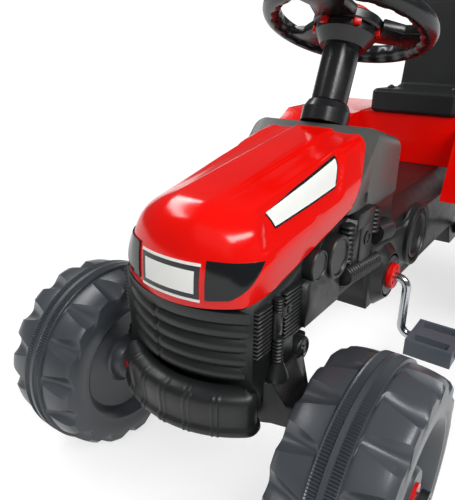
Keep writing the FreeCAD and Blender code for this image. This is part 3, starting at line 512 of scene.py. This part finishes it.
class TRACTOR_OT_bonnet(bpy.types.Operator):
    """Models the bonnet with its lamps and bare plates"""
    bl_idname = "tractor.bonnet"
    bl_label = "Bonnet"

    def execute(self, context):
        skin = bonnet_sheet("bonnet_skin")
        # Bare printed vinyl where the toy has its plates: off white and matt
        vinyl = moulded("bare_white_vinyl", colours().plate_white, 0.05, 0.38, 0.05, 4, 0.04, IOR=1.52)
        for side, sign in SIDES:
            lamp = patch(skin, f"lamp_{side}", 1.6, (
                ((sign * 42, 0, 0), (-sign, 0, 0)), ((0, -446, 304), (0, 0.3, -1)),
                ((0, -446, 344), (0, 0.06, 1)), ((0, -405, 340), (0, 1, -0.9))), 0.8)
            finish(lamp, "chassis", "smoked_lens", nodes=(f"headlamp_{side}",))
            for name, margin, lift, material in (
                    ("side_border", 0, 0.5, None), ("side_plate", 1.8, 0.8, vinyl)):
                panel = patch(skin, f"{name}_{side}", lift, (
                    ((sign * 62, 0, 0), (-sign, 0, 0)), ((0, -374, 377 - margin), (0, -0.205, 1)),
                    ((0, -374, 361 + margin), (0, 0.14, -1)), ((0, -374 + margin, 370), (0, -1, -0.2)),
                    ((0, -229 - 1.4 * margin, 408), (0, 0.73, -0.68))))
                finish(panel, "chassis", "black_gloss", material)
        for name, width, low, high, lift, material in (
                ("nose_plate", 36, 304, 337, 0.5, None), ("nose_panel", 31, 309, 332, 0.8, vinyl),
                ("nose_strip_top", 37, 337.2, 340, 0.6, vinyl),
                ("nose_strip_low", 37, 301, 303.8, 0.6, vinyl)):
            panel = patch(skin, name, lift, (
                ((-width, 0, 0), (-1, 0, 0)), ((width, 0, 0), (1, 0, 0)),
                ((0, -446, low), (0, 0, -1)), ((0, -446, high), (0, 0, 1))))
            finish(panel, "chassis", "black_gloss", material)
        bonnet = duplicate(skin, "bonnet_shell")
        modify(bonnet, "SOLIDIFY", thickness=sizes().bonnet_wall, offset=-1.0)
        rounded(bonnet, 1.2, 60)
        finish(smooth(bonnet, 40), "chassis", "red_gloss", nodes=("bonnet",))
        bpy.data.objects.remove(skin)
        return {"FINISHED"}


COLUMN = Matrix.Translation(COLUMN_BASE) @ Matrix.Rotation(-COLUMN_TILT, 4, "X")


def place(piece, matrix):
    """Sets an upright piece in its place and puts that place into its mesh."""
    activate(piece)
    piece.matrix_world = matrix
    bpy.ops.object.transform_apply(location=True, rotation=True, scale=True)
    return piece


def block(name, low, high, rounding, segments=2):
    """Box between two corners in millimetres, with rounded edges."""
    low, high = Vector(low) * MM, Vector(high) * MM
    piece = begin(bpy.ops.mesh.primitive_cube_add, name, size=1, location=(low + high) / 2, scale=high - low)
    edit(piece, "EDGE", everything, lambda: bpy.ops.mesh.bevel(offset=rounding * MM, segments=segments))
    return piece


def turned(name, start, way, rings, steps=32):
    """Round piece in millimetres: rings of (distance along, radius) from a start point along a way."""
    start, way = Vector(start) * MM, Vector(way).normalized()
    off = way.orthogonal().normalized()
    profile = [start + way * d * MM + off * r * MM for d, r in rings]
    return lathe(name, profile, start, steps, axis=way)


def ribbed(length, low, high, count):
    """Rings of a bellows: waves between two radii, closed at both ends."""
    rings = [(0, 0.01), (0, low)]
    pitch = length / count
    for rib in range(count):
        for share, lift in ((0.2, 0.75), (0.5, 1.0), (0.8, 0.75), (1.0, 0.0)):
            rings.append(((rib + share) * pitch, low + (high - low) * lift))
    return rings + [(length, 0.01)]


def plate(name, outline, low, high):
    """Flat piece in millimetres: an outline in plan, filled and pushed up from low to high."""
    points = [Vector((x, y, low)) * MM for x, y in outline]
    piece = chain_of_points(name, points + points[:1])
    edit(piece, "VERT", everything, lambda: bpy.ops.mesh.remove_doubles(threshold=0.00002),
         lambda: bpy.ops.mesh.edge_face_add(), lambda: bpy.ops.mesh.extrude_region_move(
             TRANSFORM_OT_translate={"value": (0, 0, (high - low) * MM)}))
    return outward(piece)


def softened(name, solid, rounding, degrees=25):
    """Copy of a solid's mesh with its edges rounded as a mould leaves them."""
    activate(solid)
    bpy.ops.object.duplicate()
    piece = bpy.context.object
    piece.parent = None
    for key in [k for k in piece.keys() if k.startswith("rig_")]:
        del piece[key]
    piece.name = piece.data.name = name
    edit(piece, "FACE", everything, lambda: bpy.ops.mesh.remove_doubles(threshold=0.00002),
         lambda: bpy.ops.mesh.dissolve_limited(angle_limit=math.radians(2)))
    bpy.ops.object.shade_smooth()
    return rounded(piece, rounding, degrees, 3, use_clamp_overlap=True, harden_normals=True)


class TRACTOR_OT_front_end(bpy.types.Operator):
    """Models the ribbed bumper with its arms, and the bowed grille"""
    bl_idname = "tractor.front_end"
    bl_label = "Bumper and grille"

    def execute(self, context):
        middle, reach = Vector((0, -0.333, 0)), math.radians(40)
        section = ((108, 158), (129, 156.4), (133.6, 157.4), (135.4, 161), (134.6, 165), (132.4, 167.6),
                   (131.8, 171), (132.2, 178), (133, 187), (132.8, 193), (131, 198.6), (127.4, 203),
                   (122, 205.6), (114, 207), (108, 204), (108, 158))
        profile = [middle + Vector((-r * math.sin(reach), -r * math.cos(reach), z)) * MM for r, z in section]
        bar = lathe("bumper_bar", profile, middle, 96, axis=(0, 0, -1), angle=2 * reach)

        def swing(point):
            return math.degrees(math.atan2(point.x, middle.y - point.y))

        if min(swing(v.co) for v in bar.data.vertices) < -50:
            raise RuntimeError("the bumper was spun the wrong way")
        # Five pairs of thin ribs round the bar
        for rib in (-26, -13, 0, 13, 26):
            for offset in (-1.3, 1.3):
                edit(bar, "VERT",
                     lambda q: abs(swing(q) - rib - offset) < 0.5 and (q - middle).xy.length > 0.118,
                     stretch(1.009, 1.009, 1.0, about=middle))
        parts = [bar]
        for side, sign in SIDES:
            # Round bulb at the bumper's end, turned from the bar's own section
            end = middle + Vector((sign * math.sin(reach), -math.cos(reach), 0)) * 119 * MM
            rings = [(0, 0.01)] + [(z - 156.4, r - 119) for r, z in section if r > 119.5] + [(50.8, 0.01)]
            parts.append(turned(f"bulb_{side}", (end.x / MM, end.y / MM, 156.4), (0, 0, 1), rings, 40))
            # Gusset arm: high at the engine, level at the kingpin's eye, with a sunk panel on its slope
            plan = ((55, -413), (84, -402), (92, -398), (125, -390), (125, -360), (94, -335), (70, -287),
                    (55, -287))
            arm = plate(f"arm_{side}", [(sign * x, y) for x, y in plan], 152, 204)
            for x in (86, 107):
                edit(arm, "FACE", everything,
                     lambda: bpy.ops.mesh.bisect(plane_co=(sign * x * MM, 0, 0), plane_no=(1, 0, 0)))
            edit(arm, "VERT", lambda q: abs(q.x) > 0.1065 and q.z > 0.2, move(0, 0, -24 * MM))
            edit(arm, "FACE", lambda c, n: n.z > 0.5 and abs(c.x) > 0.087,
                 lambda: bpy.ops.mesh.dissolve_limited(angle_limit=0.02))
            edit(arm, "FACE", lambda c, n: 0.5 < n.z < 0.95, lambda: bpy.ops.mesh.inset(thickness=4 * MM),
                 move(-sign * 1.4 * MM, 0, -1.2 * MM))
            rounded(arm, 3, 50, 3)
            parts.append(arm)
            parts.append(turned(f"eye_{side}", (sign * 125, -375, 152), (0, 0, 1), (
                (0, 6.1), (0, 12), (2, 14), (26, 14), (28, 12), (28, 6.1), (0, 6.1))))
        parts.append(block("beam_middle", (-60, -436, 152), (60, -331, 180), 2))
        beam = smooth(join("bumper_beam", parts), 40)
        finish(beam, "chassis", "black_plastic", nodes=("front_axle_beam",))

        bow, spread = Vector((0, -0.310, 0)), math.radians(35.2)
        ribs = [(116, 293), (139.3, 293), (139.8, 290), (139.8, 283), (138.4, 280.6), (135, 279.6)]
        for rib in range(4):
            top, out = 279 - rib * 17, 139.4 - rib * 0.9
            ribs += [(out - 3.2, top - 1.2), (out - 0.6, top - 5), (out, top - 9), (out - 1.2, top - 13),
                     (out - 3.4, top - 15.4), (out - 5.4, top - 16.6)]
        ribs += [(129, 210), (116, 209.2), (116, 293)]
        outline = [bow + Vector((-r * math.sin(spread), -r * math.cos(spread), z)) * MM for r, z in ribs]
        grille = lathe("grille_front", outline, bow, 60, axis=(0, 0, -1), angle=2 * spread)

        def bearing(point):
            return math.degrees(math.atan2(point.x, bow.y - point.y))

        # A thin upright groove a little aside of the middle, then the ends are closed
        edit(grille, "VERT",
             lambda q: abs(bearing(q) + 9) < 0.6 and (q - bow).xy.length > 0.12 and q.z < 0.281,
             stretch(0.985, 0.985, 1.0, about=bow))
        edit(grille, "VERT", lambda q: abs(abs(bearing(q)) - 35.2) < 0.2,
             lambda: bpy.ops.mesh.select_mode(type="EDGE"), lambda: bpy.ops.mesh.edge_face_add())
        finish(smooth(outward(grille), 50), "chassis", "black_plastic", nodes=("radiator_grille",))
        return {"FINISHED"}


class TRACTOR_OT_steering(bpy.types.Operator):
    """Models the steering wheel with its grips, its dished spokes and the red feet round its hub"""
    bl_idname = "tractor.steering"
    bl_label = "Steering wheel"

    def execute(self, context):
        level, reach, thick = 118 * MM, 103 * MM, 12.4 * MM
        rim = begin(bpy.ops.mesh.primitive_torus_add, "steering_rim", major_segments=144,
                    minor_segments=20, major_radius=reach, minor_radius=thick, location=(0, 0, level))
        grips = 24

        def in_grip(point):
            at = (math.atan2(point.y, point.x) / (2 * math.pi) * grips) % 1.0
            return abs(at - 0.5) < 0.2 and point.xy.length < reach - 2 * MM and point.z < level + 6 * MM

        edit(rim, "VERT", in_grip, stretch(1.022, 1.022, 1.0, about=(0, 0, level)))
        parts = [rim]
        for angle in (30, 150, 270):
            spoke = plate(f"spoke_{angle}", (
                (41, -28), (70, -23), (97, -38), (97, 38), (70, 23), (41, 28)), 111, 124)
            edit(spoke, "FACE", lambda c, n: n.z > 0.9, lambda: bpy.ops.mesh.inset(thickness=5 * MM),
                 move(0, 0, -2.5 * MM))
            rounded(spoke, 1.6, 30)
            parts.append(place(spoke, Matrix.Rotation(math.radians(angle), 4, "Z")))
        parts.append(turned("spoke_ring", (0, 0, 111), (0, 0, 1), (
            (0, 40.2), (0, 44), (2, 46), (11, 46), (13, 44), (13, 40.2), (0, 40.2)), 48))
        wheel = place(smooth(join("steering_grip", parts), 40), COLUMN)
        finish(wheel, "steering", "black_gloss", nodes=("steering_wheel",))
        # Red feet of the button's cage, which show under the wheel round its hub
        feet = []
        for angle in range(10, 370, 60):
            foot = block(f"foot_{angle}", (38.5, -5, 103.5), (45, 5, 111.5), 0.9)
            feet.append(place(foot, Matrix.Rotation(math.radians(angle), 4, "Z")))
        finish(place(smooth(join("horn_feet", feet), 40), COLUMN), "steering", "red_plastic")
        return {"FINISHED"}


class TRACTOR_OT_bodywork(bpy.types.Operator):
    """Models the dash and rounds the edges of the other big mouldings"""
    bl_idname = "tractor.bodywork"
    bl_label = "Dash and bodywork edges"

    def execute(self, context):
        # Dash: a box that falls off to the rear, cut along the bonnet's slanted edge, with a slot near
        # either lower corner
        dash = begin(bpy.ops.mesh.primitive_cube_add, "dash_moulding", size=1)
        edit(dash, "VERT", everything, stretch(0.182, 0.19, 0.122), move(0, -0.158, 0.393))
        edit(dash, "VERT", lambda q: q.y > -0.1 and q.z > 0.4, move(0, 0, -0.051))
        edit(dash, "VERT", lambda q: q.y > -0.1, stretch(0.96, 1, 1))
        edit(dash, "EDGE", lambda a, b: a.z + b.z > 0.76 or abs(a.z - b.z) > 0.03,
             lambda: bpy.ops.mesh.bevel(offset=14 * MM, segments=6, affect="EDGES"))
        cut_off(dash, (0, -0.2338, 0.349), (0, -1, REAR_LEAN), True)
        cut_off(dash, (0, -0.2, 0.338), (0, -0.1, -1), True)
        for side, sign in SIDES:
            slot = begin(bpy.ops.mesh.primitive_cylinder_add, f"slot_{side}", vertices=32, radius=6 * MM,
                         depth=20 * MM, rotation=(0, math.pi / 2, 0))
            edit(slot, "VERT", lambda q: q.z > 0, move(0, 0, 6 * MM))
            edit(slot, "VERT", everything, move(sign * 92 * MM, -0.188, 0.345))
            carve(dash, slot)
        rounded(dash, 1.6, 40)
        finish(smooth(dash, 35), "chassis", "charcoal_plastic", nodes=("dash",))
        for name, rounding, slot in (("rear_body", 11, "red_gloss"), ("engine_body", 1.6, "black_plastic"),
                                     ("pedal_left", 2, "grey_plastic"), ("pedal_right", 2, "grey_plastic")):
            piece = softened(f"{name}_moulding", frame["nodes"][name], rounding)
            if name == "engine_body":
                for sign in (1, -1):
                    # The solid's plain fins are pressed flat to make way for the finer ones of the relief
                    edit(piece, "VERT", lambda q: q.x * sign > 0.0842 and q.y < -0.3448,
                         stretch(0, 1, 1, about=(sign * 0.084, 0, 0)))
                edit(piece, "FACE", everything, lambda: bpy.ops.mesh.dissolve_degenerate(threshold=0.00002))
            body = {"pedal_left": "left_pedal", "pedal_right": "right_pedal"}.get(name, "chassis")
            finish(piece, body, slot, nodes=(name,))
        return {"FINISHED"}


def stack(name, low, high, count, pitch):
    """A stack of level fins: one rounded bar repeated upwards."""
    return modify(block(name, low, high, 0.7, 1), "ARRAY", count=count, use_relative_offset=False,
                  use_constant_offset=True, constant_offset_displace=(0, 0, pitch * MM))


class TRACTOR_OT_engine_relief(bpy.types.Operator):
    """Models the moulded engine parts and the red crank bearings on both flanks"""
    bl_idname = "tractor.engine_relief"
    bl_label = "Engine relief"

    def execute(self, context):
        screw = ((0, 0.01), (0, 4), (1.2, 4), (1.8, 3), (1.8, 0.01))
        parts = [
            # Twin filter caps: a raised rim round a sunk face
            turned("small_cap", (84, -316, 307.5), OUT, (
                (0, 0.01), (0, 18.2), (11.4, 18.2), (12.8, 17), (12.8, 15.4), (11.6, 14.4),
                (11.6, 0.01)), 56),
            turned("large_cap", (84, -272, 303), OUT, (
                (0, 0.01), (0, 25.6), (14, 25.6), (15.6, 24.2), (15.6, 21.6), (13.4, 19.8),
                (13.4, 0.01)), 64),
            # Breather, pump, hose and exhaust filter
            turned("breather", (92, -240, 284), UP, ribbed(48, 6.5, 9.5, 8)),
            block("pump_head", (84, -224, 318), (99, -172, 340), 5),
            block("pump_face", (90, -212, 270), (98.5, -176, 322), 4),
            turned("pump_port", (98.4, -194, 302), OUT, (
                (0, 0.01), (0, 9), (1.8, 9), (1.8, 6.4), (0.4, 6), (0.4, 0.01))),
            turned("hose", (92, -246, 267), (0, 104, -13), ribbed(100, 11.4, 13.6, 15), 40),
            turned("stack_pipe", (90, -160, 298), UP, ribbed(34, 6.5, 10, 6)),
            turned("filter", (90, -150, 293), (0, 46, -6), ribbed(46, 14.2, 15.4, 9), 40),
            # Round gear cover with two rims, and the boss round the crank
            turned("cover_ring", (101, 0, 248), OUT, (
                (0, 30), (0, 48.4), (5, 48.4), (6.4, 47), (6.4, 43.4), (5, 42), (1.6, 41.4), (1.6, 37),
                (4.4, 36.4), (5.4, 35), (5.4, 32.6), (4.2, 31.2), (0, 30)), 72),
            turned("crank_boss", (96, -110, 221), OUT, (
                (0, 20), (0, 33), (9.6, 33), (11, 31.6), (11, 28.4), (9.6, 27), (9.6, 20), (0, 20)), 64),
            turned("cover_face", (98, 0, 248), OUT, ((0, 0.01), (0, 29), (3, 29), (4, 27.6), (4, 0.01)), 48),
            # Black round plug in the gap under the engine's rear: a dark piece that stands in for the shade
            # there
            turned("shade_gap_plug", (60, -322, 203), OUT, (
                (0, 0.01), (0, 15), (24, 15), (26, 14), (27, 12), (25, 10.6), (25, 5), (27, 4),
                (27, 0.01)), 36),
            # Steering link between the fins: screwed plate, springs above and below, and a cone boot
            block("link_plate", (84, -394, 252), (91, -379, 284), 2.5),
            block("link_arm", (84, -386, 272), (91.5, -362, 284), 3),
            turned("link_screw_front", (90.6, -387, 263), OUT, screw, 20),
            turned("link_screw_back", (91, -370, 278), OUT, screw, 20),
            turned("upper_spring", (89, -387, 282), UP, ribbed(16, 3, 5.5, 5), 24),
            turned("lower_spring", (89, -386, 224), UP, ribbed(29, 3.5, 6.5, 7), 24),
            turned("boot", (90, -386, 204), UP, (
                (0, 0.01), (0, 12), (2, 12.4), (6, 11.4), (20, 6), (22, 0.01))),
            stack("front_fins", (83.5, -423.5, 244.5), (90, -399, 247), 12, 4.45),
            stack("rear_fins", (83.5, -374, 239.6), (90, -334.6, 242.2), 13, 4.5),
        ]
        left = smooth(join("engine_relief_left", parts), 40)
        right = duplicate(left, "engine_relief_right")
        edit(right, "VERT", everything, stretch(-1, 1, 1),
             lambda: bpy.ops.mesh.normals_make_consistent(inside=False))
        for relief in (left, right):
            finish(relief, "chassis", "black_plastic")
        # Red crank bearings: a flange with three pockets round the rod, on the solid's own sleeve
        for side, sign in SIDES:
            hub = turned(f"crank_hub_{side}", (sign * 107.4, -110, 221), (sign, 0, 0), (
                (-32, 6.1), (-32, 11), (0, 11), (0, 18.6), (6.2, 18.6), (7.6, 17.2), (7.6, 6.1),
                (-32, 6.1)), 64)
            for angle in (90, 210, 330):
                turn = math.radians(angle)
                at = CRANK + Vector((sign * 115, 12 * math.cos(turn), 12 * math.sin(turn))) * MM
                carve(hub, begin(bpy.ops.mesh.primitive_cylinder_add, "pocket", vertices=32, radius=3.6 * MM,
                                 depth=6 * MM, rotation=(0, math.pi / 2, 0), location=at))
            finish(smooth(hub, 35), "chassis", "red_plastic", nodes=(f"crank_bearing_{side}",))
        return {"FINISHED"}


class TRACTOR_OT_stage(bpy.types.Operator):
    """Sets the floor, the soft lights and the camera"""
    bl_idname = "tractor.stage"
    bl_label = "Stage"

    def execute(self, context):
        scene = context.scene
        floor = begin(bpy.ops.mesh.primitive_plane_add, "floor", size=1, location=(-0.12, 0.12, 0))
        edit(floor, "VERT", everything, stretch(18, 7, 1))
        # The paper runs up a little behind the tractor: its far edge is drawn up in small turns
        for turn in range(10, 100, 10):
            rise, run = math.sin(math.radians(turn)) * 0.21, math.cos(math.radians(turn)) * 0.21
            edge = max(v.co.y for v in floor.data.vertices)
            edit(floor, "EDGE", lambda a, b: min(a.y, b.y) > edge - 0.1 * MM,
                 lambda: bpy.ops.mesh.extrude_region_move(TRANSFORM_OT_translate={"value": (0, run, rise)}))
        # White paper: reads as pure white in the picture and in reflections, with the shadow left on it
        paper = bpy.data.materials.new("white_paper")
        paper.use_nodes = True
        tree = paper.node_tree
        bsdf = tree.nodes["Principled BSDF"]
        bsdf.inputs["Base Color"].default_value = linear("#A6A6A6")
        bsdf.inputs["Roughness"].default_value = 0.9
        bsdf.inputs["Emission Color"].default_value = (1, 1, 1, 1)
        rays = node(tree, "ShaderNodeLightPath").outputs
        seen = node(tree, "ShaderNodeMath", [(0, rays["Is Camera Ray"]), (1, rays["Is Glossy Ray"])],
                    operation="MAXIMUM")
        seen = node(tree, "ShaderNodeMath", [(0, seen.outputs[0]), (1, rays["Is Transmission Ray"])],
                    operation="MAXIMUM")
        away = node(tree, "ShaderNodeTexCoord").outputs["Object"]
        away = node(tree, "ShaderNodeVectorMath", [(0, away)], operation="LENGTH")
        level = node(tree, "ShaderNodeMapRange", [("Value", away.outputs["Value"])])
        for socket, setting in zip(("From Min", "From Max", "To Min", "To Max"), (0.9, 2.6, 0.7, 1.0)):
            level.inputs[socket].default_value = setting
        glow = node(tree, "ShaderNodeMath", [(0, seen.outputs[0]), (1, level.outputs["Result"])],
                    operation="MULTIPLY")
        tree.links.new(glow.outputs[0], bsdf.inputs["Emission Strength"])
        floor.data.materials.append(paper)
        smooth(floor, 30)
        world = bpy.data.worlds.new("studio")
        scene.world = world
        world.use_nodes = True
        sky = world.node_tree.nodes["Background"]
        sky.inputs["Color"].default_value = (1, 1, 1, 1)
        sky.inputs["Strength"].default_value = 0.12
        # Two long strips draw thin streaks along the bonnet; a wide soft lamp fills the front
        for name, spot, span, power in (("right_strip", (1.6, -0.7, 1.9), (2.4, 0.34), 48),
                                        ("left_strip", (-1.5, -0.3, 2.0), (2.4, 0.3), 28),
                                        ("front_fill", (0.6, -2.6, 1.9), (2.4, 1.6), 32)):
            light = bpy.data.lights.new(name, "AREA")
            light.shape, light.size, light.size_y, light.energy = "RECTANGLE", *span, power
            lamp = bpy.data.objects.new(name, light)
            scene.collection.objects.link(lamp)
            lamp.location = spot
            lamp.visible_glossy = name != "front_fill"
            aim = Vector((0, -0.2, 0.25)) - Vector(spot)
            lamp.rotation_euler = aim.to_track_quat("-Z", "Y").to_euler()
        camera_data = bpy.data.cameras.new("camera")
        camera_data.lens, camera_data.sensor_width = 37.44, 36
        camera = bpy.data.objects.new("camera", camera_data)
        scene.collection.objects.link(camera)
        camera.location = (0.315, -0.778, 0.537)
        camera.rotation_euler = (math.radians(90 - 22.8), 0, math.radians(36.4))
        camera_data.clip_start = 0.02
        scene.camera = camera
        scene.view_settings.view_transform = "Standard"
        return {"FINISHED"}


class TRACTOR_PT_panel(bpy.types.Panel):
    bl_label = "Pedal tractor"
    bl_idname = "TRACTOR_PT_panel"
    bl_space_type = "VIEW_3D"
    bl_region_type = "UI"
    bl_category = "Tractor"

    def draw(self, context):
        for group in (context.scene.tractor_sizes, context.scene.tractor_colours):
            for name in group.__annotations__:
                self.layout.prop(group, name)
        for operator in OPERATORS:
            self.layout.operator(operator.bl_idname)


OPERATORS = (TRACTOR_OT_finishes, TRACTOR_OT_wheels, TRACTOR_OT_bonnet, TRACTOR_OT_front_end,
             TRACTOR_OT_steering, TRACTOR_OT_bodywork, TRACTOR_OT_engine_relief, TRACTOR_OT_stage)
CLASSES = (TractorSizes, TractorColours, *OPERATORS, TRACTOR_PT_panel)


def register():
    for cls in CLASSES:
        bpy.utils.register_class(cls)
    bpy.types.Scene.tractor_sizes = bpy.props.PointerProperty(type=TractorSizes)
    bpy.types.Scene.tractor_colours = bpy.props.PointerProperty(type=TractorColours)


def unregister():
    del bpy.types.Scene.tractor_sizes
    del bpy.types.Scene.tractor_colours
    for cls in reversed(CLASSES):
        bpy.utils.unregister_class(cls)


def main():
    register()
    for operator in OPERATORS:
        group, name = operator.bl_idname.split(".")
        getattr(getattr(bpy.ops, group), name)()


if __name__ == "__main__":
    main()
